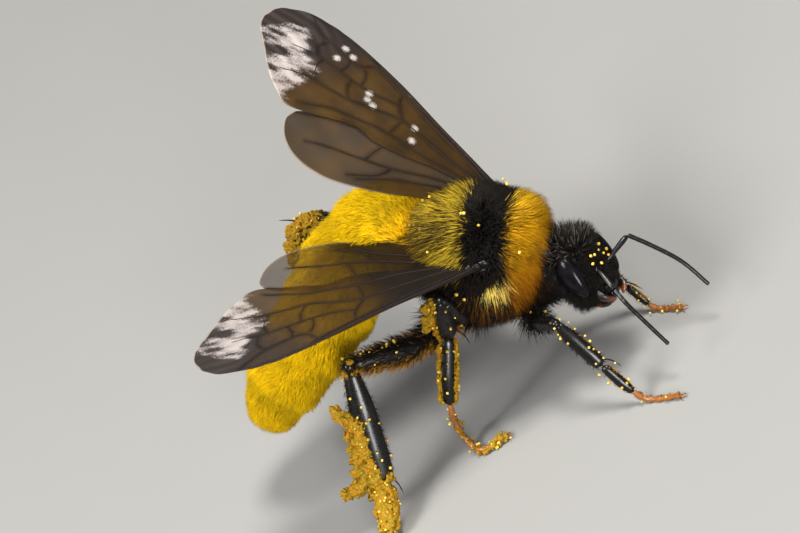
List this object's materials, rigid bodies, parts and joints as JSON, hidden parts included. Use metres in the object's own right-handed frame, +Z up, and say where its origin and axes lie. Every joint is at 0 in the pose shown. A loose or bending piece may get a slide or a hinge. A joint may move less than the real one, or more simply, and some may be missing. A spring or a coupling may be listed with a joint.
{
  "type": "bumblebee",
  "caption": "Still, life-size male bumblebee standing with half-spread wings and a curled abdomen, as a museum model.",
  "frame": {"origin": "on the floor, under the middle of the bounding box", "axes": "+X ahead of the bee, +Y to its left, +Z up"},
  "size_m": [0.022, 0.022, 0.0176],
  "materials": {
    "yellow_fur": "soft golden hair",
    "tail_fur": "soft yellow hair",
    "black_fur": "soft black hair",
    "shell": "glossy black cuticle",
    "eye": "satin black, finely faceted",
    "wing": "smoky brown membrane",
    "amber": "dark amber cuticle"
  },
  "bodies": {
    "root": {"prothorax": "yellow_fur", "mesothorax": "black_fur", "propodeum": "yellow_fur", "abdomen_ring_1": "tail_fur", "abdomen_ring_2": "tail_fur", "abdomen_ring_3": "tail_fur", "abdomen_ring_4": "tail_fur", "abdomen_ring_5": "tail_fur", "abdomen_ring_6": "tail_fur", "abdomen_ring_7": "tail_fur", "head": "black_fur", "clypeus": "shell", "proboscis": "amber", "eye_left": "eye", "eye_right": "eye", "mandible_left": "amber", "mandible_right": "amber", "antenna_scape_left": "shell", "antenna_scape_right": "shell", "antenna_flagellum_left": "shell", "antenna_flagellum_right": "shell", "forewing_left": "wing", "forewing_right": "wing", "hindwing_left": "wing", "hindwing_right": "wing", "tegula_left": "shell", "tegula_right": "shell", "leg_front_right_femur": "shell", "leg_front_right_tibia": "shell", "leg_front_right_tarsus": "shell", "leg_front_left_femur": "shell", "leg_front_left_tibia": "shell", "leg_front_left_tarsus": "shell", "leg_mid_right_femur": "shell", "leg_mid_right_tibia": "shell", "leg_mid_right_tarsus": "shell", "leg_mid_left_femur": "shell", "leg_mid_left_tibia": "shell", "leg_mid_left_tarsus": "shell", "leg_hind_right_femur": "shell", "leg_hind_right_tibia": "shell", "leg_hind_right_tarsus": "shell", "leg_hind_left_femur": "shell", "leg_hind_left_tibia": "shell", "leg_hind_left_tarsus": "shell"}
  },
  "joints": []
}
